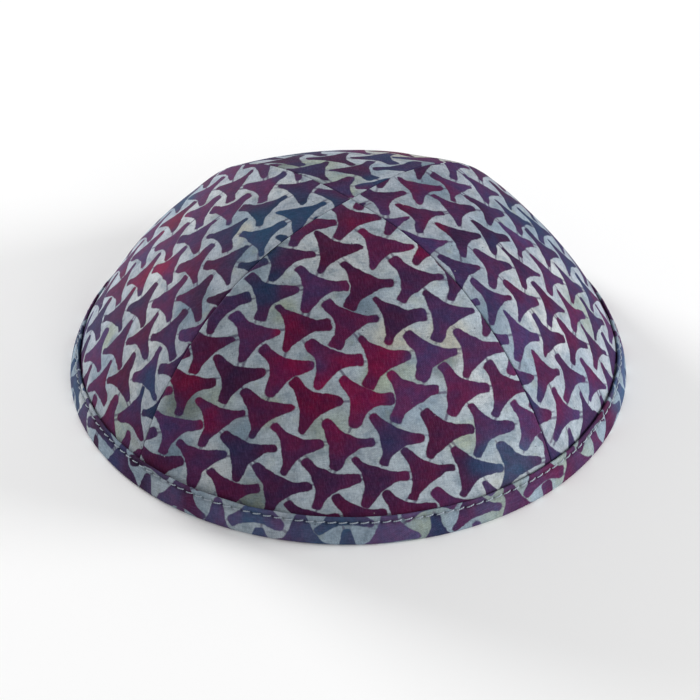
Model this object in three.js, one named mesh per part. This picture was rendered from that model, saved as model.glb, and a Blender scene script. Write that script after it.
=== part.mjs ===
// A kippah: a soft dome of four printed cotton gores, with a band of the same cotton folded round its
// lower edge. Millimetres, +Z up. The origin is the middle of the rim, on the surface the cap rests on,
// and the front is towards -Y.

import * as THREE from 'three';
import { mergeVertices } from 'three/addons/utils/BufferGeometryUtils.js';

// Sizes that can be set
const rimDiameter = 170; // across the outside of the rim band
const domeHeight = 61.2; // from the surface it rests on to the top of the crown
const panelThickness = 1.2; // cotton of one gore, with its turned seams pressed flat
const bandThickness = 1; // one leaf of the folded band
const bandHeight = 7.8; // outer leaf of the band, up from the rim
const bandInnerHeight = 8.8; // inner leaf of the band, up from the rim
const foldRadius = 0.7; // rounding of the band's lower edges
const clearance = 0.3; // left between neighbouring pieces
const tipRadius = 0.6; // where a gore's point stops short of the middle of the crown

// Shape of the dome, as pure numbers
const sideRoundness = 2.418; // exponent across: more is fuller at the crown's edge
const wallRoundness = 1.271; // exponent upwards: less is more sloping at the rim
const ridgeFade = 1.73; // how quickly the ridges at the seams die out towards the rim
const panelFlatness = 0.244; // how far the middle of a gore sinks as its ridges rise
const crownLean = { right: 0.0173, back: -0.0292 }; // where the crown sits, as shares of the rim radius

// The seams, anticlockwise from the front left one as seen from above. Azimuth is in degrees, from the
// front towards the right, and ridge is how far the dome stands out at the seam, as a share of its radius.
const seams = [
  { azimuth: -46.8, ridge: 0.068 },
  { azimuth: 45.1, ridge: 0.011 },
  { azimuth: 137, ridge: 0.188 },
  { azimuth: 223.5, ridge: 0.153 },
];

// Each gore lies between the seam of its row and the next one.
const gores = [
  { name: 'panel_front', seam: 0 },
  { name: 'panel_right', seam: 1 },
  { name: 'panel_back', seam: 2 },
  { name: 'panel_left', seam: 3 },
];

// Facets
const goreColumns = 16;
const goreRows = 18;
const bandColumns = 64;
const bandRows = 4;
const foldSteps = 3;

// Colours
const cottonColor = 0x6c5c76;
const bandColor = 0x66607e;

// Radius of the gores' outer face where it meets the floor
const goreRadius = rimDiameter / 2 - bandThickness - clearance;
const goreBase = bandThickness + clearance;

const fullTurn = 360;

// The next seam round, with its azimuth kept above this one's
function nextSeam(index) {
  const next = seams[(index + 1) % seams.length];
  const turns = index + 1 < seams.length ? 0 : fullTurn;
  return { azimuth: next.azimuth + turns, ridge: next.ridge };
}

// Angle along the meridian, 0 at the rim and a right angle at the crown, at a height
function angleAtHeight(height) {
  return Math.asin((height / domeHeight) ** (wallRoundness / 2));
}

function angleAtRadius(radius) {
  return Math.acos((radius / goreRadius) ** (sideRoundness / 2));
}

// Point on the meridian of the gores' outer face, moved outwards square to it
function meridianPoint(angle, offset) {
  const radius = goreRadius * Math.cos(angle) ** (2 / sideRoundness);
  const height = domeHeight * Math.sin(angle) ** (2 / wallRoundness);
  const inward =
    (goreRadius / sideRoundness) *
    Math.cos(angle) ** (2 / sideRoundness - 2) *
    Math.sin(angle) ** (2 - 2 / wallRoundness);
  const upward = domeHeight / wallRoundness;
  const length = Math.hypot(inward, upward);
  return new THREE.Vector2(radius + (offset * upward) / length, height + (offset * inward) / length);
}

// Row of a wall that starts plumb at a lowest level and then follows the meridian
function wallPoint(share, lowest, topAngle, offset) {
  if (share === 0) return new THREE.Vector2(goreRadius + offset, lowest);
  const angle = THREE.MathUtils.lerp(angleAtHeight(lowest), topAngle, share);
  return meridianPoint(angle, offset);
}

// How far the dome stands out at an azimuth and radius, as a factor on the radius. It is 1 at the rim.
function ridgeFactor(azimuth, radius) {
  const turned = THREE.MathUtils.euclideanModulo(azimuth - seams[0].azimuth, fullTurn) + seams[0].azimuth;
  const index = seams.findLastIndex((seam) => turned >= seam.azimuth);
  const start = seams[index];
  const end = nextSeam(index);
  const share = (turned - start.azimuth) / (end.azimuth - start.azimuth);
  const ridge = THREE.MathUtils.lerp(start.ridge, end.ridge, THREE.MathUtils.smoothstep(share, 0, 1));
  const quarter = Math.PI / seams.length;
  const flatSide = 1 / Math.cos((2 * share - 1) * quarter) - 1;
  const corner = 1 / Math.cos(quarter) - 1;
  const fade = 1 - Math.min(radius / goreRadius, 1) ** ridgeFade;
  return 1 + ridge * fade * (flatSide / corner - panelFlatness);
}

// A point of the round dome, carried to where it lies on the ridged and leaning one
function onDome(azimuth, radius, height) {
  const turn = THREE.MathUtils.degToRad(azimuth);
  const out = radius * ridgeFactor(azimuth, radius);
  const lean = (rimDiameter / 2) * THREE.MathUtils.clamp(height / domeHeight, 0, 1) ** 2;
  return new THREE.Vector3(
    out * Math.sin(turn) + lean * crownLean.right,
    -out * Math.cos(turn) + lean * crownLean.back,
    height,
  );
}

// Joins the doubled corners into one closed skin and gives it its name and colour
function closedMesh(name, geometry, color) {
  geometry.deleteAttribute('normal');
  geometry.deleteAttribute('uv');
  const closed = mergeVertices(geometry);
  closed.computeVertexNormals();
  const cotton = new THREE.MeshStandardMaterial({ color, roughness: 0.9, metalness: 0, flatShading: true });
  const mesh = new THREE.Mesh(closed, cotton);
  mesh.name = name;
  return mesh;
}

// A gore: a box of side to side, rim to crown and inside to outside shares, bent onto the dome
function gore({ name, seam }) {
  const left = seams[seam].azimuth;
  const right = nextSeam(seam).azimuth;
  const topAngle = angleAtRadius(tipRadius);
  const geometry = new THREE.BoxGeometry(1, 1, 1, goreColumns, goreRows, 1);
  const place = geometry.attributes.position;
  for (let i = 0; i < place.count; i++) {
    const across = place.getX(i) + 0.5;
    const upwards = place.getY(i) + 0.5;
    const inwards = 0.5 - place.getZ(i);
    const wall = wallPoint(upwards, goreBase, topAngle, -inwards * panelThickness);
    const face = wallPoint(upwards, goreBase, topAngle, 0);
    const edge = THREE.MathUtils.radToDeg(Math.asin(clearance / 2 / face.x));
    const azimuth = THREE.MathUtils.lerp(left + edge, right - edge, across);
    const point = onDome(azimuth, wall.x, wall.y);
    place.setXYZ(i, point.x, point.y, point.z);
  }
  return closedMesh(name, geometry, cottonColor);
}

// One face of a band leaf, from its lowest level up
function leafFace(offset, lowest, height) {
  const topAngle = angleAtHeight(height);
  const rows = Array.from({ length: bandRows + 1 }, (_, row) => row / bandRows);
  return rows.map((share) => wallPoint(share, lowest, topAngle, offset));
}

// Quarter round at the foot of the band, starting a number of quarter turns from straight outwards
function foldArc(middleRadius, quarters) {
  return Array.from({ length: foldSteps }, (_, step) => {
    const turn = (quarters + step / foldSteps) * (Math.PI / 2);
    return new THREE.Vector2(
      middleRadius + foldRadius * Math.cos(turn),
      foldRadius + foldRadius * Math.sin(turn),
    );
  });
}

// Section of the band: up the outside, down inside the outer leaf, under the gores, up again to the
// top of the inner leaf, down the inside and back along the flat foot
function bandSection() {
  const outside = clearance + bandThickness;
  const inside = -panelThickness - clearance;
  const foot = goreRadius + inside - bandThickness + foldRadius;
  return [
    ...leafFace(outside, foldRadius, bandHeight),
    ...leafFace(clearance, bandThickness, bandHeight).reverse(),
    ...leafFace(inside, bandThickness, bandInnerHeight),
    ...leafFace(inside - bandThickness, foldRadius, bandInnerHeight).reverse().slice(0, -1),
    ...foldArc(foot, 2),
    new THREE.Vector2(foot, 0),
    ...foldArc(goreRadius + outside - foldRadius, 3),
  ];
}

// The rim band: its section turned all the way round, then carried onto the dome like the gores
function rimBand() {
  const section = bandSection();
  const geometry = new THREE.LatheGeometry([...section, section[0]], bandColumns);
  geometry.rotateX(Math.PI / 2);
  const place = geometry.attributes.position;
  for (let i = 0; i < place.count; i++) {
    const radius = Math.hypot(place.getX(i), place.getY(i));
    const azimuth = THREE.MathUtils.radToDeg(Math.atan2(place.getX(i), -place.getY(i)));
    const point = onDome(azimuth, radius, place.getZ(i));
    place.setXYZ(i, point.x, point.y, point.z);
  }
  return closedMesh('rim_band', geometry, bandColor);
}

const kippah = new THREE.Group();
kippah.add(...gores.map(gore), rimBand());

export default kippah;
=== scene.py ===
"""A kippah of four gores of wax-resist printed cotton, with a folded and topstitched rim band.

Metres, +Z up, the front towards -Y. The origin is the middle of the rim, on the floor.
"""

import bisect
import math
import bmesh
import bpy
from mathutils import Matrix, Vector, noise


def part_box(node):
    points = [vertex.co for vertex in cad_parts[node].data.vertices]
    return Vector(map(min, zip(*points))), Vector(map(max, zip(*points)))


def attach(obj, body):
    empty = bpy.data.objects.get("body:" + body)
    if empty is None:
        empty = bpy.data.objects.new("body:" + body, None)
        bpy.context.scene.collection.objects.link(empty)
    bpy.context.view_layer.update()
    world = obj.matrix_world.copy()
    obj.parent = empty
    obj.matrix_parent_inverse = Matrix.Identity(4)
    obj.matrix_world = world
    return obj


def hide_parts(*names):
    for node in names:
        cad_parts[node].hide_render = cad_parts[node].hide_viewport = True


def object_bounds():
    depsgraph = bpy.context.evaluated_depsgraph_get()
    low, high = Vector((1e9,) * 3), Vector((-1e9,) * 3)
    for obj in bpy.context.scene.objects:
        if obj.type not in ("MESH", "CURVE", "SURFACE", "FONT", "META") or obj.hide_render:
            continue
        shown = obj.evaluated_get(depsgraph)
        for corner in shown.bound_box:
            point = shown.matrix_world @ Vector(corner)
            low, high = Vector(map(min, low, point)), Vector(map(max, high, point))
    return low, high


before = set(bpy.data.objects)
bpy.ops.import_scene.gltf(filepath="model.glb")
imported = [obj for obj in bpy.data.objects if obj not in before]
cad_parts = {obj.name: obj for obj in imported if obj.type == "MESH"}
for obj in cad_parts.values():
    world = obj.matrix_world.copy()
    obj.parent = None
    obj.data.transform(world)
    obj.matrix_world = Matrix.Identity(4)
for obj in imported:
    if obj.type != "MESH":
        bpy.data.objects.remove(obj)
cad_low, cad_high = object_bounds()

# The photograph's camera: a long lens, 37 degrees above the floor, with the rim's middle a little
# below and to the left of the middle of the picture.
camera_elevation = math.radians(37.2)
camera_distance = 0.654
camera_lens = 109.6
aim_up = 0.00304
aim_right = 0.00052

back_to_camera = Vector((0, -math.cos(camera_elevation), math.sin(camera_elevation)))
up_in_picture = Vector((0, math.sin(camera_elevation), math.cos(camera_elevation)))
camera_place = back_to_camera * camera_distance
aim = up_in_picture * aim_up + Vector((aim_right, 0, 0))
camera = bpy.data.objects.new("camera", bpy.data.cameras.new("camera"))
camera.data.lens = camera_lens
camera.data.sensor_width = 36
camera.data.clip_start = 0.01
camera.location = camera_place
camera.rotation_mode = "QUATERNION"
camera.rotation_quaternion = (aim - camera_place).to_track_quat("-Z", "Y")
bpy.context.collection.objects.link(camera)
bpy.context.scene.camera = camera

# The studio: a pale floor, an even pale sky, two wide soft lights low down, one to the right and
# one behind to the left, and a weaker one in front. The front gets the least light, as in the
# photograph.
floor_size = 6.0
floor_color = (0.94, 0.94, 0.94, 1)
floor_roughness = 0.9
sky_color = (1, 1, 1, 1)
sky_strength = 0.51
lamp_distance = 2.0
lamp_size = 0.8
soft_lights = [
    {"name": "right_light", "azimuth": 90, "elevation": 13, "watts": 36.5},
    {"name": "left_light", "azimuth": -135, "elevation": 13, "watts": 46.0},
    {"name": "front_light", "azimuth": 30, "elevation": 32, "watts": 7.0},
]

bpy.context.scene.view_settings.view_transform = "Standard"
sheet_of_floor = bmesh.new()
bmesh.ops.create_grid(sheet_of_floor, x_segments=1, y_segments=1, size=floor_size / 2)
floor_mesh = bpy.data.meshes.new("floor")
sheet_of_floor.to_mesh(floor_mesh)
sheet_of_floor.free()
floor = bpy.data.objects.new("floor", floor_mesh)
bpy.context.collection.objects.link(floor)
floor_paint = bpy.data.materials.new("floor_paint")
floor_paint.use_nodes = True
floor_shader = floor_paint.node_tree.nodes["Principled BSDF"]
floor_shader.inputs["Base Color"].default_value = floor_color
floor_shader.inputs["Roughness"].default_value = floor_roughness
floor_mesh.materials.append(floor_paint)

sky = bpy.data.worlds.new("sky")
sky.use_nodes = True
sky.node_tree.nodes["Background"].inputs["Color"].default_value = sky_color
sky.node_tree.nodes["Background"].inputs["Strength"].default_value = sky_strength
bpy.context.scene.world = sky
for soft_light in soft_lights:
    lamp = bpy.data.lights.new(soft_light["name"], "AREA")
    lamp.energy = soft_light["watts"]
    lamp.shape = "DISK"
    lamp.size = lamp_size
    azimuth = math.radians(soft_light["azimuth"])
    elevation = math.radians(soft_light["elevation"])
    towards_lamp = Vector((
        math.sin(azimuth) * math.cos(elevation),
        -math.cos(azimuth) * math.cos(elevation),
        math.sin(elevation),
    ))
    stand = bpy.data.objects.new(soft_light["name"], lamp)
    stand.location = towards_lamp * lamp_distance
    stand.rotation_mode = "QUATERNION"
    stand.rotation_quaternion = (-towards_lamp).to_track_quat("-Z", "Y")
    bpy.context.collection.objects.link(stand)

# The dome: the form that the four gores take once they are sewn together. It is a soft round wall
# with blunt ridges at the seams, strongest at the back, and it leans slightly at the crown. The
# ridges and the lean are shares of the radius.
mm = 0.001
band_leaf = 1.0 * mm
clearance = 0.3 * mm
crown_room = 0.8 * mm
side_roundness = 2.418
wall_roundness = 1.271
ridge_fade = 1.73
gore_flatness = 0.244
crown_lean = {"right": 0.0085, "back": -0.0292}
seams = [
    {"azimuth": -46.8, "ridge": 0.068},
    {"azimuth": 45.1, "ridge": 0.011},
    {"azimuth": 137.0, "ridge": 0.188},
    {"azimuth": 223.5, "ridge": 0.153},
]

band_low, band_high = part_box("rim_band")
rim_radius = (band_high.x - band_low.x) / 2
dome_height = cad_high.z - crown_room
gore_radius = rim_radius - band_leaf - clearance
full_turn = 2 * math.pi


def on_meridian(angle, offset=0.0):
    """The wall's radius and height at an angle up from the rim, moved outwards square to it."""
    across = math.cos(angle) ** (2 / side_roundness)
    upwards = math.sin(angle) ** (2 / wall_roundness)
    inward = gore_radius / side_roundness * math.cos(angle) ** (2 / side_roundness - 2)
    inward *= math.sin(angle) ** (2 - 2 / wall_roundness)
    upward = dome_height / wall_roundness
    length = math.hypot(inward, upward)
    radius = gore_radius * across + offset * upward / length
    return radius, dome_height * upwards + offset * inward / length


def seam_azimuth(number):
    """A seam's azimuth in radians, which keeps growing as the numbers go round again."""
    turns, index = divmod(number, len(seams))
    return math.radians(seams[index]["azimuth"]) + turns * full_turn


def ridge_factor(azimuth, radius):
    """How far the dome stands out at an azimuth and radius, as a factor on the radius."""
    turned = (azimuth - seam_azimuth(0)) % full_turn + seam_azimuth(0)
    number = max(index for index in range(len(seams)) if turned >= seam_azimuth(index) - 1e-9)
    share = (turned - seam_azimuth(number)) / (seam_azimuth(number + 1) - seam_azimuth(number))
    eased = share * share * (3 - 2 * share)
    start = seams[number]["ridge"]
    end = seams[(number + 1) % len(seams)]["ridge"]
    ridge = start + (end - start) * eased
    quarter = math.pi / len(seams)
    flat_side = 1 / math.cos((2 * share - 1) * quarter) - 1
    corner = 1 / math.cos(quarter) - 1
    fade = 1 - min(radius / gore_radius, 1) ** ridge_fade
    return 1 + ridge * fade * (flat_side / corner - gore_flatness)


def on_dome(azimuth, radius, height):
    """A point of the round dome, carried to where it lies on the ridged and leaning one."""
    out = radius * ridge_factor(azimuth, radius)
    lean = rim_radius * min(max(height / dome_height, 0), 1) ** 2
    return Vector((
        out * math.sin(azimuth) + lean * crown_lean["right"],
        -out * math.cos(azimuth) + lean * crown_lean["back"],
        height,
    ))


def meridian_lengths(steps=900):
    """Lengths down the wall from the middle of the crown, with the angle at each."""
    lengths = [0.0]
    angles = [math.pi / 2 - 1e-6]
    last = on_meridian(angles[0])
    for index in range(1, steps + 1):
        angle = angles[0] * (1 - index / steps) + 1e-6
        here = on_meridian(angle)
        lengths.append(lengths[-1] + math.dist(here, last))
        angles.append(angle)
        last = here
    return lengths, angles


wall_lengths, wall_angles = meridian_lengths()


def angle_at_length(length):
    """The wall's angle at a length down from the middle of the crown."""
    index = min(max(bisect.bisect_left(wall_lengths, length), 1), len(wall_lengths) - 1)
    start, end = wall_lengths[index - 1], wall_lengths[index]
    share = (length - start) / (end - start)
    return wall_angles[index - 1] + share * (wall_angles[index] - wall_angles[index - 1])


def length_at_height(height):
    """The length down the wall from the middle of the crown to a height."""
    angle = math.asin((height / dome_height) ** (wall_roundness / 2))
    return next(length for length, reached in zip(wall_lengths, wall_angles) if reached <= angle)


# The printed cotton: plain weave, resist-printed with three-armed figures that interlock on a
# triangular repeat, then dyed by hand in patches of crimson, purple and blue over a pale grey
# green ground. Hairline cracks in the resist run from the ends of the arms.
print_repeat = 13.5 * mm
threads_per_repeat = 44.0
row_slant = math.sin(math.pi / 3)

# The rest of the print's sizes are shares of the repeat. A spread is the whole difference that
# there may be from one arm to the next, and a pair is the least and how much more there may be.
figure_reach = 0.672
flank_distance = 1.2
flank_radius = 0.927
corner_softness = 0.16
edge_softness = 0.014
figure_wander = 0.06
reach_spread = 0.08
width_spread = 0.06
taper_spread = 0.4
bend_spread = 0.11
arm_root = 0.2
arm_middle = 0.5
crack_off_middle = (0.012, 0.075)
crack_width = (0.028, 0.022)
crack_core = 0.01
crack_end = (0.71, 0.12)
crack_fade = 16.0
uncracked_share = 0.3
hand_waver = [
    {"scale": 1.1, "size": 0.14},
    {"scale": 5.0, "size": 0.05},
    {"scale": 17.0, "size": 0.022},
]

# What lies over the dyes: tints, stains, cracks, specks, worn threads and, inside, fading
blue_tint = (0.76, 1.1, 1.07, 1)
red_tint = (1.18, 0.95, 0.97, 1)
stain_color = (0.14, 0.2, 0.26, 1)
straw_color = (0.31, 0.34, 0.25, 1)
crack_color = (0.06, 0.04, 0.09, 1)
dark_speck_color = (0.04, 0.045, 0.06, 1)
bare_speck_color = (0.5, 0.45, 0.45, 1)
worn_color = (0.24, 0.2, 0.32, 1)
faded_color = (0.33, 0.36, 0.38, 1)
mottles = [{"scale": 2.3, "share": 0.5}, {"scale": 6.0, "share": 0.4}]
speck_scale = 7.0
dark_speck_chance = 0.18
bare_speck_chance = 0.02
weave_relief = 0.12 * mm


def plug(tree, socket, source):
    """Gives a node's socket a number, a colour or another node's output."""
    if isinstance(source, bpy.types.NodeSocket):
        tree.links.new(source, socket)
    else:
        socket.default_value = source


def add_node(tree, kind, settings=None, sources=None):
    """Adds a node with its settings and with what goes into its named sockets."""
    made = tree.nodes.new(kind)
    for name, value in (settings or {}).items():
        setattr(made, name, value)
    for name, source in (sources or {}).items():
        plug(tree, made.inputs[name], source)
    return made


def work_out(tree, operation, *terms):
    """A Math node's output for one to three terms."""
    made = add_node(tree, "ShaderNodeMath", {"operation": operation})
    for socket, term in zip(made.inputs, terms):
        plug(tree, socket, term)
    return made.outputs[0]


def work_vector(tree, operation, *terms):
    """A Vector Math node, whose output is a vector, or a value for a length or a distance."""
    made = add_node(tree, "ShaderNodeVectorMath", {"operation": operation})
    for socket, term in zip(made.inputs, terms):
        plug(tree, socket, term)
    return made.outputs["Value" if operation in ("LENGTH", "DISTANCE") else "Vector"]


def split(tree, vector):
    """The three parts of a vector."""
    made = add_node(tree, "ShaderNodeSeparateXYZ", sources={"Vector": vector})
    return made.outputs["X"], made.outputs["Y"], made.outputs["Z"]


def join(tree, x, y, z=0.0):
    """A vector of three parts."""
    made = add_node(tree, "ShaderNodeCombineXYZ", sources={"X": x, "Y": y, "Z": z})
    return made.outputs["Vector"]


def ramp_between(tree, value, start, end):
    """0 where the value is at start and 1 where it is at end, with an eased step between."""
    made = add_node(
        tree, "ShaderNodeMapRange",
        {"interpolation_type": "SMOOTHSTEP"},
        {"Value": value, "From Min": start, "From Max": end},
    )
    return made.outputs["Result"]


def mix_colors(tree, share, first, second, kind="MIX"):
    """Two colours mixed by a share."""
    made = add_node(tree, "ShaderNodeMix", {"data_type": "RGBA", "blend_type": kind})
    share_socket, first_socket, second_socket = made.inputs[0], made.inputs[6], made.inputs[7]
    plug(tree, share_socket, share)
    plug(tree, first_socket, first)
    plug(tree, second_socket, second)
    return made.outputs[2]


def scale_color(tree, color, factor):
    """A colour made lighter or darker by a factor."""
    return mix_colors(tree, 1.0, color, join(tree, factor, factor, factor), "MULTIPLY")


def noise_of(tree, vector, scale, detail=2.0, roughness=0.5, shift=None):
    """Soft noise, its value and its colour. A shift keeps it from following another noise."""
    if shift:
        vector = work_vector(tree, "ADD", vector, shift)
    made = add_node(
        tree, "ShaderNodeTexNoise", {"noise_dimensions": "3D"},
        {"Vector": vector, "Scale": scale, "Detail": detail, "Roughness": roughness},
    )
    return made.outputs["Fac"], made.outputs["Color"]


def chance_at(tree, place):
    """Three chance numbers between 0 and 1 that belong to one place."""
    made = add_node(tree, "ShaderNodeTexWhiteNoise", {"noise_dimensions": "3D"}, {"Vector": place})
    return made.outputs["Color"]


def spread_by(tree, chance, spread, middle=0.0):
    """A chance number turned into a size that differs by a spread about a middle."""
    return work_out(tree, "MULTIPLY_ADD", chance, spread, middle - spread / 2)


def make_figure_group():
    """One printed figure: how far a place on the cloth lies from its edge, and its cracks."""
    tree = bpy.data.node_groups.new("three_armed_figure", "ShaderNodeTree")
    tree.interface.new_socket("Place", in_out="INPUT", socket_type="NodeSocketVector")
    tree.interface.new_socket("Corner", in_out="INPUT", socket_type="NodeSocketVector")
    tree.interface.new_socket("Distance", in_out="OUTPUT", socket_type="NodeSocketFloat")
    tree.interface.new_socket("Crack", in_out="OUTPUT", socket_type="NodeSocketFloat")
    tree.interface.new_socket("Chance", in_out="OUTPUT", socket_type="NodeSocketVector")
    given = tree.nodes.new("NodeGroupInput")
    result = tree.nodes.new("NodeGroupOutput")

    # The figure's cell of the slanted repeat, and the place measured square from its middle
    cell = work_vector(tree, "FLOOR", given.outputs["Place"])
    cell = work_vector(tree, "ADD", cell, given.outputs["Corner"])
    chance = chance_at(tree, work_vector(tree, "ADD", cell, (17.3, 5.9, 2.2)))
    slanted = work_vector(tree, "SUBTRACT", given.outputs["Place"], cell)
    x, y, _ = split(tree, slanted)
    square = join(
        tree,
        work_out(tree, "MULTIPLY_ADD", y, 0.5, x),
        work_out(tree, "MULTIPLY", y, row_slant),
    )
    wander = work_vector(tree, "SUBTRACT", chance, (0.5, 0.5, 0.5))
    wander = work_vector(tree, "MULTIPLY", wander, (figure_wander, figure_wander, 0))
    square = work_vector(tree, "SUBTRACT", square, wander)

    # Fold the cloth on to one arm, which points along X. No arm is quite as wide, as long or as
    # straight as the next.
    x, y, _ = split(tree, square)
    third = full_turn / 3
    turn = work_out(tree, "ARCTAN2", y, x)
    arm = work_out(tree, "ROUND", work_out(tree, "DIVIDE", turn, third))
    turn = work_out(tree, "SUBTRACT", turn, work_out(tree, "MULTIPLY", arm, third))
    out = work_vector(tree, "LENGTH", join(tree, x, y))
    along = work_out(tree, "MULTIPLY", out, work_out(tree, "COSINE", turn))
    beside = work_out(tree, "MULTIPLY", out, work_out(tree, "SINE", turn))
    arm_chance = chance_at(tree, work_vector(tree, "ADD", cell, join(tree, arm, 3.7, 8.1)))
    width, reach, taper = split(tree, arm_chance)
    bend = work_out(tree, "FRACT", work_out(tree, "MULTIPLY", width, 7.3))
    outer = ramp_between(tree, along, arm_root, arm_middle)
    bend = work_out(tree, "MULTIPLY", outer, spread_by(tree, bend, bend_spread))
    beside = work_out(tree, "ADD", beside, bend)
    folded = join(tree, along, work_out(tree, "ABSOLUTE", beside))

    # Hollow flanks and rounded ends
    flank_middle = (flank_distance * 0.5, flank_distance * row_slant, 0)
    flank = work_out(
        tree, "SUBTRACT", flank_radius, work_vector(tree, "DISTANCE", folded, flank_middle)
    )
    narrower = spread_by(tree, width, width_spread)
    taper = spread_by(tree, taper, taper_spread)
    tapered = work_out(tree, "MULTIPLY", taper, work_out(tree, "SUBTRACT", along, arm_middle))
    change = work_out(tree, "MULTIPLY", outer, work_out(tree, "ADD", narrower, tapered))
    flank = work_out(tree, "ADD", flank, change)
    reach = spread_by(tree, reach, reach_spread, figure_reach)
    end = work_out(tree, "SUBTRACT", along, reach)
    distance = work_out(tree, "SMOOTH_MAX", flank, end, corner_softness)
    tree.links.new(distance, result.inputs["Distance"])

    # Cracks: short dark bridges on from a corner of some of the ends, some longer and darker
    side = work_out(tree, "SIGN", beside)
    side_place = work_vector(tree, "ADD", cell, join(tree, arm, side, 5.3))
    there, start, strength = split(tree, chance_at(tree, side_place))
    least, more = crack_off_middle
    start = work_out(tree, "MULTIPLY_ADD", start, more, least)
    off_line = work_out(tree, "SUBTRACT", work_out(tree, "ABSOLUTE", beside), start)
    least, more = crack_width
    crack_edge = work_out(tree, "MULTIPLY_ADD", strength, more, least)
    line = ramp_between(tree, work_out(tree, "ABSOLUTE", off_line), crack_edge, crack_core)
    begun = ramp_between(tree, along, arm_middle, arm_middle + 0.04)
    least, more = crack_end
    stop = work_out(tree, "MULTIPLY_ADD", strength, more, least)
    stopped = work_out(tree, "MULTIPLY", work_out(tree, "SUBTRACT", stop, along), crack_fade)
    stopped = ramp_between(tree, stopped, 0.0, 1.0)
    crack = work_out(tree, "MULTIPLY", line, work_out(tree, "MULTIPLY", begun, stopped))
    crack = work_out(tree, "MULTIPLY", crack, work_out(tree, "MULTIPLY_ADD", strength, 0.4, 0.6))
    there = ramp_between(tree, there, uncracked_share, uncracked_share + 0.1)
    crack = work_out(tree, "MULTIPLY", crack, there)
    tree.links.new(crack, result.inputs["Crack"])
    tree.links.new(chance, result.inputs["Chance"])
    return tree


figure_group = make_figure_group()


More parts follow.
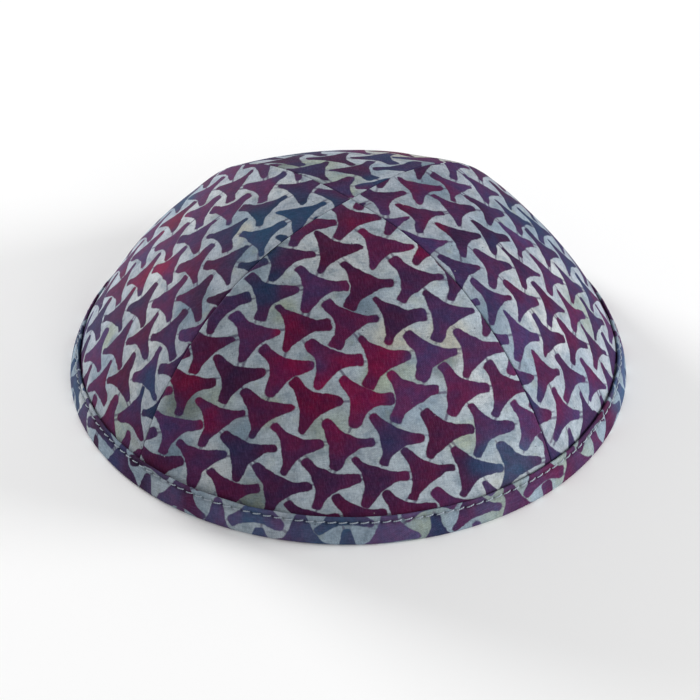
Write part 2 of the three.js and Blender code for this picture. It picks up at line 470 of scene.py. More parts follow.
def make_printed_cotton(name, fading):
    """The cloth's finish: print, dye, stains, specks and weave. Fading pales the reverse side."""
    cotton = bpy.data.materials.new(name)
    cotton.use_nodes = True
    tree = cotton.node_tree
    shader = tree.nodes["Principled BSDF"]
    place = add_node(tree, "ShaderNodeUVMap", {"uv_map": "print"}).outputs["UV"]
    figure_dye = add_node(tree, "ShaderNodeAttribute", {"attribute_name": "figure_dye"})
    ground_dye = add_node(tree, "ShaderNodeAttribute", {"attribute_name": "ground_dye"})
    figure_shrink = add_node(tree, "ShaderNodeAttribute", {"attribute_name": "figure_shrink"})

    # The resist was laid by hand, so the repeat wavers and every edge is a little uneven
    shaken = place
    for wave in hand_waver:
        _, waver = noise_of(tree, place, wave["scale"], 1.0)
        waver = work_vector(tree, "SUBTRACT", waver, (0.5, 0.5, 0.5))
        waver = work_vector(tree, "MULTIPLY", waver, (wave["size"], wave["size"], 0))
        shaken = work_vector(tree, "ADD", shaken, waver)
    x, y, _ = split(tree, shaken)
    row = work_out(tree, "DIVIDE", y, row_slant)
    slanted = join(tree, work_out(tree, "MULTIPLY_ADD", row, -0.5, x), row)

    # The nearest of the figures at the four corners of the cell, and every crack there
    nearest = chance = cracks = None
    for corner in ((0, 0, 0), (1, 0, 0), (0, 1, 0), (1, 1, 0)):
        given = {"Place": slanted, "Corner": corner}
        figure = add_node(tree, "ShaderNodeGroup", {"node_tree": figure_group}, given)
        distance = figure.outputs["Distance"]
        if nearest is None:
            nearest, chance, cracks = distance, figure.outputs["Chance"], figure.outputs["Crack"]
            continue
        closer = work_out(tree, "LESS_THAN", distance, nearest)
        chance = mix_colors(tree, closer, chance, figure.outputs["Chance"])
        nearest = work_out(tree, "MINIMUM", nearest, distance)
        cracks = work_out(tree, "MAXIMUM", cracks, figure.outputs["Crack"])
    nearest = work_out(tree, "ADD", nearest, figure_shrink.outputs["Fac"])
    inked = ramp_between(tree, nearest, edge_softness, -edge_softness)

    # Dye in the figures: redder here and bluer there, darker in some figures
    _, _, chance_z = split(tree, chance)
    cloud, _ = noise_of(tree, place, 2.6, 4.0, 0.6)
    redness, _ = noise_of(tree, place, 3.0, 4.0, 0.6, shift=(9.0, 4.0, 1.0))
    redness = ramp_between(tree, redness, 0.3, 0.7)
    tint = mix_colors(tree, redness, blue_tint, red_tint)
    figure_color = mix_colors(tree, 1.0, figure_dye.outputs["Color"], tint, "MULTIPLY")
    depth = work_out(tree, "MULTIPLY_ADD", chance_z, 0.35, 0.46)
    depth = work_out(tree, "ADD", depth, work_out(tree, "MULTIPLY", cloud, 0.55))
    figure_color = scale_color(tree, figure_color, depth)

    # The ground: pale, mottled with grey blue and straw, and dark where the resist cracked
    ground_color = ground_dye.outputs["Color"]
    for mottle in mottles:
        shift = (3.0, 8.0, mottle["scale"])
        stain, _ = noise_of(tree, place, mottle["scale"], 4.0, 0.6, shift=shift)
        stain = work_out(tree, "MULTIPLY", ramp_between(tree, stain, 0.5, 0.7), mottle["share"])
        ground_color = mix_colors(tree, stain, ground_color, stain_color)
    straw, _ = noise_of(tree, place, 2.4, 3.0, shift=(31.0, 7.0, 2.0))
    straw = work_out(tree, "MULTIPLY", ramp_between(tree, straw, 0.56, 0.74), 0.3)
    ground_color = mix_colors(tree, straw, ground_color, straw_color)
    shade = work_out(tree, "MULTIPLY_ADD", ramp_between(tree, cloud, 0.3, 0.75), -0.3, 1.1)
    ground_color = scale_color(tree, ground_color, shade)
    cracks = work_out(tree, "MULTIPLY", cracks, 0.75)
    ground_color = mix_colors(tree, cracks, ground_color, crack_color)

    # Specks of dye on the ground and of bare cloth on the figures
    given = {"Vector": place, "Scale": speck_scale}
    specks = add_node(tree, "ShaderNodeTexVoronoi", {"feature": "F1"}, given)
    chance, _, _ = split(tree, specks.outputs["Color"])
    speck = ramp_between(tree, specks.outputs["Distance"], 0.15, 0.07)
    dark = work_out(tree, "GREATER_THAN", chance, 1 - dark_speck_chance)
    dark = work_out(tree, "MULTIPLY", work_out(tree, "MULTIPLY", speck, dark), 0.75)
    ground_color = mix_colors(tree, dark, ground_color, dark_speck_color)
    bare = work_out(tree, "LESS_THAN", chance, bare_speck_chance)
    bare = work_out(tree, "MULTIPLY", work_out(tree, "MULTIPLY", speck, bare), 0.6)
    figure_color = mix_colors(tree, bare, figure_color, bare_speck_color)
    cloth_color = mix_colors(tree, inked, ground_color, figure_color)

    # Plain weave: threads over and under, slubs and worn threads, in the colour and the surface
    x, y, _ = split(tree, place)
    warp = work_out(tree, "SINE", work_out(tree, "MULTIPLY", x, threads_per_repeat * math.pi))
    weft = work_out(tree, "SINE", work_out(tree, "MULTIPLY", y, threads_per_repeat * math.pi))
    weave = work_out(tree, "MULTIPLY", warp, weft)
    along_weft = work_vector(tree, "MULTIPLY", place, (6.0, 40.0, 1.0))
    along_warp = work_vector(tree, "MULTIPLY", place, (40.0, 6.0, 1.0))
    weft_slubs, _ = noise_of(tree, along_weft, 1.0)
    warp_slubs, _ = noise_of(tree, along_warp, 1.0)
    slubs = work_out(tree, "ADD", weft_slubs, warp_slubs)
    grain, _ = noise_of(tree, place, 22.0, 2.0, 0.7)
    worn = work_out(tree, "MULTIPLY", inked, ramp_between(tree, warp_slubs, 0.4, 0.75))
    worn = work_out(tree, "MULTIPLY", worn, 0.05)
    cloth_color = mix_colors(tree, worn, cloth_color, worn_color)
    tone = work_out(tree, "MULTIPLY_ADD", slubs, 0.5, 0.075)
    tone = work_out(tree, "MULTIPLY_ADD", grain, 0.65, tone)
    tone = work_out(tree, "MULTIPLY_ADD", weave, 0.05, tone)
    cloth_color = scale_color(tree, cloth_color, tone)
    if fading:
        cloth_color = mix_colors(tree, fading, cloth_color, faded_color)
    tree.links.new(cloth_color, shader.inputs["Base Color"])
    relief = work_out(tree, "MULTIPLY_ADD", slubs, 0.8, work_out(tree, "MULTIPLY", weave, 0.5))
    given = {"Strength": 0.35, "Distance": weave_relief, "Height": relief}
    bump = add_node(tree, "ShaderNodeBump", sources=given)
    tree.links.new(bump.outputs["Normal"], shader.inputs["Normal"])
    shader.inputs["Roughness"].default_value = 0.82
    shader.inputs["Specular IOR Level"].default_value = 0.06
    return cotton


cotton_face = make_printed_cotton("printed_cotton_face", 0.0)
cotton_reverse = make_printed_cotton("printed_cotton_reverse", 0.28)


def dye(red, green, blue):
    """A dye's colour on the cloth, from the 0 to 255 values that it shows in daylight."""
    def linear(value):
        share = value / 255
        return share / 12.92 if share <= 0.04045 else ((share + 0.055) / 1.055) ** 2.4
    return Vector((linear(red), linear(green), linear(blue)))


crimson = dye(111, 14, 58)
maroon = dye(82, 25, 62)
plum = dye(78, 38, 76)
purple = dye(68, 46, 86)
violet = dye(84, 68, 104)
denim = dye(62, 82, 112)
navy = dye(50, 48, 84)
blue = dye(36, 58, 90)
teal = dye(28, 65, 94)
dark = dye(58, 28, 60)
pale = dye(160, 171, 180)
# The pale ground again, a little less green, with painted sheen; the side and back gores take it
# as their ground.
pale_with_painted_sheen = dye(160, 168, 178)
grey_blue = dye(138, 154, 168)
green = dye(144, 156, 148)
straw = dye(172, 170, 158)
olive = dye(98, 108, 100)
white = dye(182, 187, 190)
moss = dye(148, 158, 142)
slate = dye(104, 124, 140)

# The dyes are laid on in patches, whose borders wobble by some millimetres
patch_wobble = 2
wobble_spacing = 6.7
base_weight = 0.3
patch_weight = 2
patch_fade = 1.4


def smooth_noise(x, y, z, scale):
    """Soft noise between about -1 and 1, with hills about a scale apart."""
    return noise.noise(Vector((x / scale, y / scale, z / scale)))


def dyed(table, across, down, base):
    """The dye at a place on a cut piece: the table's patches blended over the base dye."""
    x = across + patch_wobble * smooth_noise(across, down, 20.0, wobble_spacing)
    y = down + patch_wobble * smooth_noise(across, down, 90.0, wobble_spacing)
    total = base_weight
    color = base * total
    for patch_across, patch_down, reach, patch_dye in table:
        near = ((x - patch_across) ** 2 + (y - patch_down) ** 2) / reach**2
        if near < 4:
            weight = math.exp(-near * patch_fade) * patch_weight
            color = color + patch_dye * weight
            total += weight
    return color / total


# The gores: four pieces of the printed cotton, cut as curved triangles and seamed from the rim to
# the crown with their edges turned under and pressed open. Each lies in the space of its solid.
cloth_thickness = 0.35 * mm
seam_roll = 0.38 * mm
seam_gap = 0.06 * mm
seam_allowance = 5 * mm
roll_steps = 5
allowance_steps = 4
gore_columns = 110
gore_rows = 112
gore_tip = 0.1 * mm
gore_foot = 1.6 * mm
pull_reach = 22.0

# The gores' own softness: low swells over each gore, and small puckers beside its seams. Both die
# out where the gore is narrower than its firm width, towards the crown.
swell_height = 0.25 * mm
swell_spacing = 19.0
swell_arc = 84
pucker_height = 0.12 * mm
pucker_spacing = 4.2
pucker_reach = 3 * mm
firm_width = 16 * mm

# Places on a gore are in millimetres along the cloth, across from its middle and down from the
# crown. A pull is the place that it is strongest at, and how far it drags the print across and
# down there. The figures shrink by a share of the repeat where the dye spread less. The dyes were
# laid on in patches, each with its place, its reach and its dye.
gores = [
    {
        "name": "panel_front", "first_seam": 0, "print_turn": 9.4, "print_start": (6.5, -6.2),
        "pulls": [
            ((0, 20), (-1.7, 3.3)), ((-25, 50), (-0.4, 1.5)), ((20, 45), (0.1, 3.2)),
            ((-45, 85), (-1.1, 0.1)), ((0, 80), (-0.1, 3.7)), ((45, 85), (0.3, 3.1)),
        ],
        "figure_shrink": 0.003,
        "figure_base": plum,
        "figure_dyes": [
            # across, down, reach, dye
            (0, 10, 6, maroon), (2, 13, 4, crimson), (-8, 15, 5, maroon),
            (-21, 22, 4, teal), (-15, 24, 5, plum), (-4, 27, 6, maroon),
            (9, 21, 6, maroon), (19, 23, 4, crimson), (-23, 35, 5, blue),
            (-15, 37, 4, plum), (-10, 37, 5, purple), (5, 35, 6, maroon),
            (20, 33, 7, dark), (-34, 42, 6, purple), (-28, 51, 6, plum),
            (-16, 50, 4, crimson), (-9, 50, 5, maroon), (1, 49, 7, maroon),
            (13, 47, 6, dark), (27, 43, 7, purple), (-40, 52, 6, maroon),
            (-44, 61, 6, crimson), (-32, 62, 6, dark), (-22, 60, 4, maroon),
            (-15, 60, 6, crimson), (-8, 59, 3, purple), (-1, 62, 5, crimson),
            (10, 59, 6, crimson), (22, 57, 7, purple), (36, 55, 6, plum),
            (44, 62, 5, maroon), (-50, 74, 6, purple), (-38, 74, 3, crimson),
            (-26, 73, 6, maroon), (-8, 71, 7, crimson), (6, 71, 5, crimson),
            (18, 69, 6, plum), (30, 66, 7, maroon), (44, 74, 6, purple),
            (-44, 84, 6, plum), (-29, 84, 6, navy), (-17, 82, 7, maroon),
            (0, 81, 7, maroon), (-3, 79, 3, crimson), (11, 80, 6, navy),
            (25, 78, 7, maroon), (32, 89, 5, dark), (38, 87, 4, blue),
            (47, 85, 7, denim), (-53, 88, 6, maroon), (-34, 95, 6, maroon),
            (-19, 94, 7, dark), (-7, 93, 6, dark), (8, 92, 6, dark), (22, 91, 6, maroon),
            (0, 103, 7, maroon), (18, 102, 7, maroon),
        ],
        "ground_base": pale,
        "ground_dyes": [
            # across, down, reach, dye
            (13, 52, 5, straw), (9, 65, 4, moss), (-26, 98, 5, olive),
            (27, 58, 3, olive), (-28, 27, 5, grey_blue), (-10, 24, 6, white),
            (0, 32, 5, white), (0, 24, 5, white), (16, 24, 6, white),
            (-30, 79, 4, slate), (22, 73, 5, grey_blue), (33, 80, 4, moss),
            (-22, 73, 3, moss), (-46, 68, 5, olive), (-18, 44, 3, moss),
            (4, 42, 4, slate), (16, 63, 4, green), (-36, 68, 4, green),
            (28, 50, 5, straw), (36, 62, 6, white), (12, 74, 4, slate),
            (-38, 88, 5, white), (45, 92, 6, white), (-4, 79, 5, green),
            (40, 80, 4, grey_blue), (-50, 82, 4, slate),
        ],
    },
    {
        "name": "panel_right", "first_seam": 1, "print_turn": 183.2, "print_start": (8.1, -4.4),
        "pulls": [
            ((0, 20), (-1.5, 1.3)), ((20, 45), (-0.6, 0.8)), ((-20, 50), (-1.1, -1.4)),
            ((15, 75), (-7.2, -0.5)), ((-15, 80), (-6.5, -2.4)), ((-48, 85), (1.1, -0.2)),
        ],
        "figure_shrink": 0.024,
        "figure_base": purple,
        "figure_dyes": [
            # across, down, reach, dye
            (3, 10, 6, dark), (18, 20, 6, dark), (8, 17, 6, maroon),
            (-3, 16, 4, crimson), (-6, 21, 5, plum), (10, 29, 6, maroon),
            (0, 28, 6, plum), (-11, 25, 4, crimson), (-12, 31, 4, dark),
            (-18, 21, 5, purple), (15, 38, 7, purple), (4, 38, 6, dark),
            (-7, 39, 5, dark), (-10, 43, 4, navy), (-25, 29, 6, purple),
            (-20, 40, 5, plum), (-31, 38, 6, purple), (-36, 42, 5, navy),
            (5, 50, 6, purple), (-10, 50, 6, dark), (-25, 50, 5, maroon),
            (-38, 52, 7, purple), (-8, 60, 6, plum), (-21, 62, 4, maroon),
            (-33, 61, 6, purple), (-42, 66, 6, maroon), (-52, 66, 5, navy),
            (-3, 72, 7, purple), (-15, 74, 5, maroon), (-27, 73, 5, maroon),
            (-37, 75, 6, dark), (-49, 76, 6, maroon), (-10, 88, 7, purple),
            (-21, 88, 7, dark), (-28, 89, 5, maroon), (-42, 89, 7, purple),
            (-56, 85, 6, navy), (18, 60, 9, blue), (25, 75, 12, navy), (6, 82, 6, blue),
            (8, 95, 9, plum), (40, 50, 14, plum), (45, 80, 16, maroon),
        ],
        # This gore's ground has painted sheen: the pale ground made a little less green.
        "ground_base": pale_with_painted_sheen,
        "ground_dyes": [
            # across, down, reach, dye
            (-38, 42, 6, slate), (-43, 52, 6, grey_blue), (-20, 32, 6, grey_blue),
            (10, 24, 7, slate), (-26, 58, 6, white), (-30, 66, 6, white),
            (-12, 80, 7, green), (-46, 62, 6, grey_blue), (-47, 84, 7, pale),
            (0, 46, 8, grey_blue), (-4, 66, 7, white), (-14, 45, 5, white),
            (-35, 82, 6, grey_blue), (12, 60, 12, grey_blue),
        ],
    },
    {
        "name": "panel_back", "first_seam": 2, "print_turn": 2.9, "print_start": (-2.5, 17.9),
        "pulls": [],
        "figure_shrink": 0.008,
        "figure_base": plum,
        "figure_dyes": [
            # across, down, reach, dye
            (-6, 11, 4, teal), (-11, 15, 4, blue), (5, 9, 4, dark), (3, 6, 3, navy),
            (0, 20, 6, dark), (12, 21, 5, navy), (10, 15, 4, navy), (-15, 23, 6, navy),
            (5, 29, 6, dark), (-11, 31, 6, blue), (22, 33, 7, dark), (-26, 38, 8, plum),
            (20, 47, 12, blue), (-20, 52, 12, crimson), (5, 70, 13, maroon),
            (-40, 80, 13, navy), (42, 78, 12, crimson), (10, 95, 12, purple),
        ],
        # This gore's ground has painted sheen: the pale ground made a little less green.
        "ground_base": pale_with_painted_sheen,
        "ground_dyes": [
            # across, down, reach, dye
            (8, 24, 5, moss), (2, 12, 5, green), (17, 23, 4, olive),
            (-7, 19, 4, grey_blue), (-20, 25, 4, slate), (2, 4, 3, moss),
            (-20, 42, 12, straw), (25, 70, 14, grey_blue), (-30, 85, 12, green),
        ],
    },
    {
        "name": "panel_left", "first_seam": 3, "print_turn": 2.1, "print_start": (3.0, -11.4),
        "pulls": [
            ((0, 20), (2.9, 2.7)), ((-20, 45), (3.0, -0.9)), ((20, 50), (2.1, -0.1)),
            ((-20, 80), (4.1, -1.6)), ((15, 80), (5.8, -2.7)), ((48, 85), (0.6, -0.4)),
        ],
        "figure_shrink": 0.01,
        "figure_base": plum,
        "figure_dyes": [
            # across, down, reach, dye
            (4, 10, 6, teal), (-8, 15, 5, purple), (-3, 18, 4, blue), (-17, 21, 5, navy),
            (-12, 27, 5, plum), (9, 18, 6, teal), (5, 25, 7, teal), (-2, 28, 4, plum),
            (16, 24, 8, teal), (9, 30, 5, teal), (24, 30, 5, blue), (-20, 36, 6, plum),
            (-10, 38, 5, plum), (0, 39, 5, plum), (10, 37, 6, navy), (21, 36, 6, plum),
            (-30, 47, 6, plum), (-27, 57, 5, teal), (-10, 48, 6, plum),
            (3, 47, 6, purple), (18, 46, 6, maroon), (30, 43, 6, dark),
            (-12, 58, 5, crimson), (0, 58, 6, plum), (10, 60, 4, crimson),
            (9, 68, 5, crimson), (25, 54, 6, plum), (40, 55, 6, purple),
            (-1, 69, 5, purple), (0, 79, 6, maroon), (22, 66, 5, plum),
            (17, 69, 4, navy), (14, 78, 5, plum), (21, 80, 4, navy), (32, 70, 6, maroon),
            (27, 79, 5, plum), (38, 69, 5, purple), (46, 69, 5, blue), (9, 90, 6, navy),
            (19, 88, 6, purple), (35, 83, 6, maroon), (26, 95, 7, plum),
            (53, 72, 4, blue), (48, 78, 5, purple), (41, 92, 7, maroon),
            (53, 80, 4, maroon), (0, 100, 9, navy), (-45, 75, 14, blue),
            (-20, 80, 10, plum), (-35, 95, 12, maroon),
        ],
        # This gore's ground has painted sheen: the pale ground made a little less green.
        "ground_base": pale_with_painted_sheen,
        "ground_dyes": [
            # across, down, reach, dye
            (20, 84, 3, moss), (10, 32, 2.5, straw), (21, 29, 3, slate),
            (-10, 45, 9, white), (15, 62, 8, white), (33, 63, 7, white),
            (-8, 20, 5, white), (12, 22, 4, pale), (40, 75, 6, white),
            (28, 88, 6, grey_blue), (-30, 60, 9, grey_blue), (32, 48, 5, slate),
            (4, 34, 5, grey_blue), (48, 88, 6, green),
        ],
    },
]


def print_place(gore, across, down):
    """Where a place on the cut gore lies in the undistorted print, in repeats."""
    x = across - gore["print_start"][0]
    y = down - gore["print_start"][1]
    for middle, pull in gore["pulls"]:
        near = math.exp(-((across - middle[0]) ** 2 + (down - middle[1]) ** 2) / 2 / pull_reach**2)
        x -= near * pull[0]
        y -= near * pull[1]
    turn = math.radians(gore["print_turn"])
    repeat = print_repeat / mm
    return (
        (math.cos(turn) * x - math.sin(turn) * y) / repeat,
        (-math.sin(turn) * x - math.cos(turn) * y) / repeat,
    )


def seam_fold(half_width):
    """The turned edge at one row: steps of inset, depth and length along the cloth."""
    roll = min(seam_roll, half_width / 3)
    allowance = min(seam_allowance, half_width * 0.7)
    start = seam_gap + roll
    steps = []
    for index in range(1, roll_steps + 1):
        turn = math.pi * index / roll_steps
        steps.append((start - roll * math.sin(turn), roll * (1 - math.cos(turn)), roll * turn))
    for index in range(1, allowance_steps + 1):
        along = allowance * index / allowance_steps
        steps.append((start + along, 2 * roll, math.pi * roll + along))
    return start, steps


def finish_cloth(name, cloth, uv_places, figure_colors, ground_colors, figure_shrink):
    """Turns the bent grid into a sheet of cloth with its print, its dyes and both of its sides."""
    cloth.verts.index_update()
    print_layer = cloth.loops.layers.uv.new("print")
    for face in cloth.faces:
        face.smooth = True
        for loop in face.loops:
            loop[print_layer].uv = uv_places[loop.vert.index]
    mesh = bpy.data.meshes.new(name)
    cloth.to_mesh(mesh)
    cloth.free()
    for attribute_name, colors in (("figure_dye", figure_colors), ("ground_dye", ground_colors)):
        attribute = mesh.color_attributes.new(attribute_name, "FLOAT_COLOR", "POINT")
        attribute.data.foreach_set("color", [part for color in colors for part in (*color, 1.0)])
    shrink = mesh.attributes.new("figure_shrink", "FLOAT", "POINT")
    shrink.data.foreach_set("value", [figure_shrink] * len(mesh.vertices))
    piece = bpy.data.objects.new(name, mesh)
    bpy.context.collection.objects.link(piece)
    mesh.materials.append(cotton_face)
    mesh.materials.append(cotton_reverse)
    wall = piece.modifiers.new("cloth", "SOLIDIFY")
    wall.thickness = cloth_thickness
    wall.offset = -1
    wall.material_offset = 1
    wall.material_offset_rim = 1
    return piece


def sew_gore(gore):
    """One gore: a grid of cloth bent on to the dome between its two seams, edges turned under."""
    left = seam_azimuth(gore["first_seam"])
    right = seam_azimuth(gore["first_seam"] + 1)
    middle = (left + right) / 2
    half_turn = (right - left) / 2
    fold_count = roll_steps + allowance_steps
    columns = gore_columns + 2 * fold_count
    foot_length = length_at_height(gore_foot)

    cloth = bmesh.new()
    bmesh.ops.create_grid(cloth, x_segments=columns, y_segments=gore_rows, size=1)
    cloth.verts.ensure_lookup_table()
    uv_places, figure_colors, ground_colors = [], [], []
    for corner in cloth.verts:
        column = round((corner.co.x + 1) / 2 * columns)
        down = gore_tip + (foot_length - gore_tip) * (1 - corner.co.y) / 2
        angle = angle_at_length(down)
        radius, _ = on_meridian(angle)
        half_width = half_turn * radius
        start, steps = seam_fold(half_width)
        side = -1 if column < columns / 2 else 1
        folded = max(fold_count - column, column - fold_count - gore_columns)
        if folded > 0:
            inset, depth, beyond = steps[folded - 1]
        else:
            share = abs((column - fold_count) / gore_columns * 2 - 1)
            inset = half_width - share * (half_width - start)
            depth, beyond = 0.0, 0.0
        azimuth = middle + side * (half_width - inset) / radius
        room = min(half_width / firm_width, 1)
        swell = smooth_noise(azimuth * swell_arc, down / mm, 4.0, swell_spacing)
        pucker = smooth_noise(down / mm, side * 9.0, 2.0, pucker_spacing)
        pucker *= math.exp(-((inset / pucker_reach) ** 2))
        softness = swell_height * room * swell + pucker_height * room**2 * pucker
        wall_radius, height = on_meridian(angle, softness - depth)
        corner.co = on_dome(azimuth, wall_radius, height)
        spread = side * (half_width - (start if folded > 0 else inset) + beyond) / down
        across_mm = down * math.sin(spread) / mm
        down_mm = down * math.cos(spread) / mm
        uv_places.append(print_place(gore, across_mm, down_mm))
        figure_colors.append(dyed(gore["figure_dyes"], across_mm, down_mm, gore["figure_base"]))
        ground_colors.append(dyed(gore["ground_dyes"], across_mm, down_mm, gore["ground_base"]))
    name = "cotton_" + gore["name"]
    shrink = gore["figure_shrink"]
    return finish_cloth(name, cloth, uv_places, figure_colors, ground_colors, shrink)


for gore in gores:
    piece = sew_gore(gore)
    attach(piece, "root")
    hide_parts(gore["name"])

# The rim band: a straight strip of the same cotton, its long edges turned in, folded round the raw
# lower edge of the gores and pressed. Its ends meet at the back.
band_height = 7.8 * mm
band_inner_height = 8.8 * mm
band_columns = 860
band_join_gap = 0.04 * mm
edge_roll = 0.45 * mm
foot_roll = 1.25 * mm
tuck_end = 2 * mm
inner_tuck_end = 2.5 * mm
outer_face = clearance + band_leaf
inner_face = -2.5 * mm
between_leaves = (outer_face + inner_face) / 2

# The stitches draw the cloth in along a groove, most at each needle hole, and shade is painted
# there.
# The upper edge is pressed in, wavers, and gapes a little at the front.
stitch_height = 6.25 * mm
stitch_count = 172
groove = {"half_width": 0.9 * mm, "depth": 0.24 * mm, "painted_shade": 0.22}
hole = {"half_width": 0.45 * mm, "depth": 0.3 * mm, "painted_shade": 0.5}
edge_from = 5 * mm
edge_reach = 3 * mm
edge_up = {"waver": 0.22 * mm, "spacing": 13}
edge_out = {"waver": 0.14 * mm, "spacing": 5}
edge_press = 0.15 * mm
front_gape = 0.3 * mm
foot_top = 2 * mm
band_print = {"turn": 95.4, "start": (-13.08, 1.79), "repeat": 12.18, "stretch": 1.18}
band_figure_dyes = [
    # along the rim from the front, up, reach, dye
    (-110, 3, 6, denim), (-100, 3, 6, violet), (-91, 3, 5, dark), (-80, 3, 6, navy),
    (-70, 3, 6, dark), (-56, 3, 6, violet), (-46, 4, 4, maroon), (-38, 3, 6, violet),
    (-28, 3, 5, denim), (-18, 3, 5, violet), (-9, 3, 5, denim), (0, 3, 4, denim),
    (10, 3, 6, violet), (18, 3, 5, violet), (25, 3, 4, blue), (33, 3, 6, plum),
    (42, 3, 6, violet), (54, 3, 7, plum), (68, 3, 7, maroon), (82, 3, 7, plum),
    (96, 3, 7, maroon), (111, 3, 7, denim), (125, 3, 9, denim), (150, 3, 14, plum),
    (180, 3, 14, blue), (210, 3, 16, navy), (250, 3, 16, maroon), (-130, 3, 9, teal),
    (-160, 3, 16, plum), (-200, 3, 16, navy), (-235, 3, 14, violet),
    (-262, 3, 10, maroon),
]
band_ground_dyes = [
    # along the rim from the front, up, reach, dye
    (-105, 3, 8, white), (-60, 3, 6, pale), (-33, 3, 7, pale), (-20, 3, 6, pale_with_painted_sheen),
    (0, 3, 8, grey_blue), (22, 3, 4, green), (46, 3, 6, green), (75, 3, 8, green),
    (112, 3, 9, grey_blue), (-130, 3, 12, grey_blue), (-200, 3, 20, straw),
    (190, 3, 20, green),
]


def straight_run(offset, start, end, steps):
    """Evenly spaced points of the section between two heights, without those two."""
    shares = [index / steps for index in range(1, steps)]
    return [(offset, start * (1 - share) + end * share) for share in shares]


def rounded_turn(middle_offset, middle_height, radius, start, end, steps):
    """Points of the section on an arc, its angles given in half turns, both ends included."""
    angles = [math.pi * (start + (end - start) * index / steps) for index in range(steps + 1)]
    return [
        (middle_offset + radius * math.cos(angle), middle_height + radius * math.sin(angle))
        for angle in angles
    ]


def band_section():
    """The strip's path across the band: offsets from the gores' face, heights off the floor."""
    top = band_height - edge_roll
    inner_top = band_inner_height - edge_roll
    tuck = outer_face - 2 * edge_roll
    inner_tuck = inner_face + 2 * edge_roll
    return [
        (tuck, tuck_end),
        *straight_run(tuck, tuck_end, top, 5),
        *rounded_turn(outer_face - edge_roll, top, edge_roll, 1, 0, 8),
        *straight_run(outer_face, top, foot_roll, 12),
        *rounded_turn(outer_face - foot_roll, foot_roll, foot_roll, 0, -0.5, 6),
        *rounded_turn(inner_face + foot_roll, foot_roll, foot_roll, -0.5, -1, 6),
        *straight_run(inner_face, foot_roll, inner_top, 8),
        *rounded_turn(inner_face + edge_roll, inner_top, edge_roll, 1, 0, 6),
        *straight_run(inner_tuck, inner_top, inner_tuck_end, 4),
        (inner_tuck, inner_tuck_end),
    ]


section_path = band_section()
section_lengths = [0.0]
for here, there in zip(section_path, section_path[1:]):
    section_lengths.append(section_lengths[-1] + math.dist(here, there))
foot_corner = min(
    range(len(section_path)),
    key=lambda index: (section_path[index][1] > 0.4 * mm, section_lengths[index]),
)
floor_line = section_lengths[foot_corner]


def stitch_pull(azimuth, height):
    """How far the stitching draws the cloth in at a place on the band, and the painted shade
    there.
    """
    grooved = math.exp(-(((height - stitch_height) / groove["half_width"]) ** 2))
    holed = math.exp(-(((height - stitch_height) / hole["half_width"]) ** 2))
    holed *= (0.5 + 0.5 * math.cos(azimuth * stitch_count)) ** 4
    depth = groove["depth"] * grooved + hole["depth"] * holed
    return depth, 1 - groove["painted_shade"] * grooved - hole["painted_shade"] * holed


def band_point(azimuth, offset, height):
    """A point of the band, where its upper edge wavers and its foot stays flat on the floor."""
    arc = rim_radius / mm * azimuth
    lift = max(height - edge_from, 0) / edge_reach
    if offset > between_leaves:
        up = noise.noise(Vector((arc / edge_up["spacing"], 2.0, 0.5)))
        out = noise.noise(Vector((arc / edge_out["spacing"], 7.0, 0.5)))
        height += lift * edge_up["waver"] * up
        offset += lift * edge_out["waver"] * out
        offset += lift * (front_gape * max(math.cos(azimuth), 0) - edge_press)
    angle = math.asin(min(max(height / dome_height, 0), 1) ** (wall_roundness / 2))
    radius, level = on_meridian(angle, offset)
    return on_dome(azimuth, radius, level if height > foot_top else height)


def sew_band():
    """The strip: a grid of cloth, its length carried round the rim, its width along the path."""
    strip = bmesh.new()
    rows = len(section_path) - 1
    bmesh.ops.create_grid(strip, x_segments=band_columns, y_segments=rows, size=1)
    bmesh.ops.reverse_faces(strip, faces=strip.faces)
    strip.verts.ensure_lookup_table()
    turn = math.radians(band_print["turn"])
    uv_places, figure_colors, ground_colors = [], [], []
    for corner in strip.verts:
        azimuth = corner.co.x * (math.pi - band_join_gap / rim_radius)
        row = round((corner.co.y + 1) / 2 * rows)
        offset, height = section_path[row]
        inwards = 1 if offset > between_leaves else -1
        outside = offset > outer_face - 0.3 * mm or offset < inner_face + 0.3 * mm
        painted_shade = 1.0
        if outside and height > foot_roll:
            depth, painted_shade = stitch_pull(azimuth, height)
            offset -= inwards * depth
        corner.co = band_point(azimuth, offset, height)
        arc = rim_radius / mm * azimuth
        along = (arc - band_print["start"][0]) / band_print["stretch"]
        upwards = (floor_line - section_lengths[row]) / mm - band_print["start"][1]
        uv_places.append((
            (math.cos(turn) * along + math.sin(turn) * upwards) / band_print["repeat"],
            (-math.sin(turn) * along + math.cos(turn) * upwards) / band_print["repeat"],
        ))
        # The band's dyes are darkened by painted shade along the stitching groove and round each
        # needle hole.
        figure_colors.append(dyed(band_figure_dyes, arc, 3, violet) * painted_shade)
        ground_colors.append(dyed(band_ground_dyes, arc, 3, grey_blue) * painted_shade)
    return finish_cloth("cotton_rim_band", strip, uv_places, figure_colors, ground_colors, 0.0)


rim_band = sew_band()
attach(rim_band, "root")
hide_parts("rim_band")

# The topstitching: one row of lockstitch through both leaves of the band and the gores between
# them, in a dull grey blue two-ply thread. It lies along both faces and dips in at every hole.
thread_radius = 0.17 * mm
ply_across = 0.62
ply_up = 0.5
ply_twists = 2.5
steps_per_stitch = 12
steps_round_ply = 6
stitch_slant = 0.2 * mm
stitch_wander = 0.09 * mm
stitch_unevenness = 0.0016
thread_sunk = 0.22 * mm
thread_proud = 0.7
hole_dip = 5
thread_dark = (0.15, 0.19, 0.25, 1)
thread_light = (0.44, 0.5, 0.56, 1)


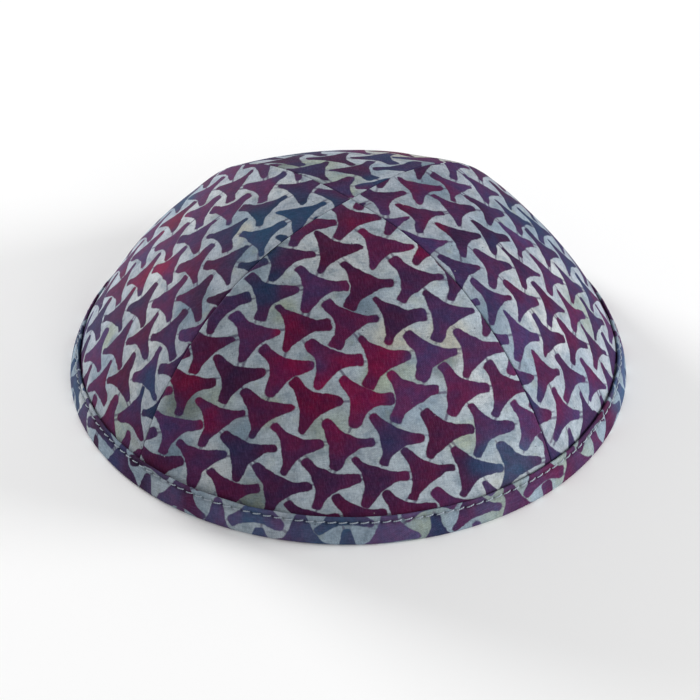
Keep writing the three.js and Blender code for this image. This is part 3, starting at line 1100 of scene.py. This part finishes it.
def lay_ply(thread, face_offset, outwards, ply):
    """One ply of one face's row: a long grid rolled up into a tube and carried round the band."""
    made = bmesh.ops.create_grid(
        thread, x_segments=stitch_count * steps_per_stitch, y_segments=steps_round_ply, size=1
    )
    for corner in made["verts"]:
        share = (corner.co.x + 1) / 2
        round_turn = math.pi * corner.co.y * outwards
        number = math.floor(share * stitch_count + 1e-6)
        uneven = noise.noise(Vector((number * 0.7, ply * 0.1, outwards)))
        azimuth = full_turn * share + stitch_unevenness * uneven
        slant = 2 * (share * stitch_count % 1) - 1
        twist = full_turn * ply_twists * share * stitch_count + ply * math.pi
        sideways = ply_across * (math.cos(twist) + math.cos(round_turn))
        upright = ply_up * math.sin(twist) + ply_across * math.sin(round_turn)
        wander = stitch_wander * noise.noise(Vector((number * 0.9, 5.0, outwards)))
        rise = sideways * thread_radius + slant * stitch_slant + wander
        dip = hole_dip * abs(slant) ** 3
        lift = outwards * thread_radius * (upright + thread_proud - dip)
        corner.co = band_point(azimuth, face_offset + lift, stitch_height + rise)


def sew_stitches():
    """Both rows of visible stitches, the outer one on the band's face and the inner one inside."""
    thread = bmesh.new()
    for face_offset, outwards in ((outer_face - thread_sunk, 1), (inner_face + thread_sunk, -1)):
        for ply in (0, 1):
            lay_ply(thread, face_offset, outwards, ply)
    bmesh.ops.remove_doubles(thread, verts=thread.verts, dist=0.001 * mm)
    bmesh.ops.recalc_face_normals(thread, faces=thread.faces)
    for face in thread.faces:
        face.smooth = True
    mesh = bpy.data.meshes.new("topstitching")
    thread.to_mesh(mesh)
    thread.free()
    piece = bpy.data.objects.new("topstitching", mesh)
    bpy.context.collection.objects.link(piece)
    return piece


def make_thread():
    """Spun blue grey sewing thread, mottled along its length."""
    spun = bpy.data.materials.new("sewing_thread")
    spun.use_nodes = True
    tree = spun.node_tree
    shader = tree.nodes["Principled BSDF"]
    place = add_node(tree, "ShaderNodeTexCoord").outputs["Object"]
    mottle, _ = noise_of(tree, place, 900.0, 2.0)
    color = mix_colors(tree, mottle, thread_dark, thread_light)
    tree.links.new(color, shader.inputs["Base Color"])
    shader.inputs["Roughness"].default_value = 0.6
    shader.inputs["Sheen Weight"].default_value = 0.3
    return spun


topstitching = sew_stitches()
topstitching.data.materials.append(make_thread())
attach(topstitching, "root")
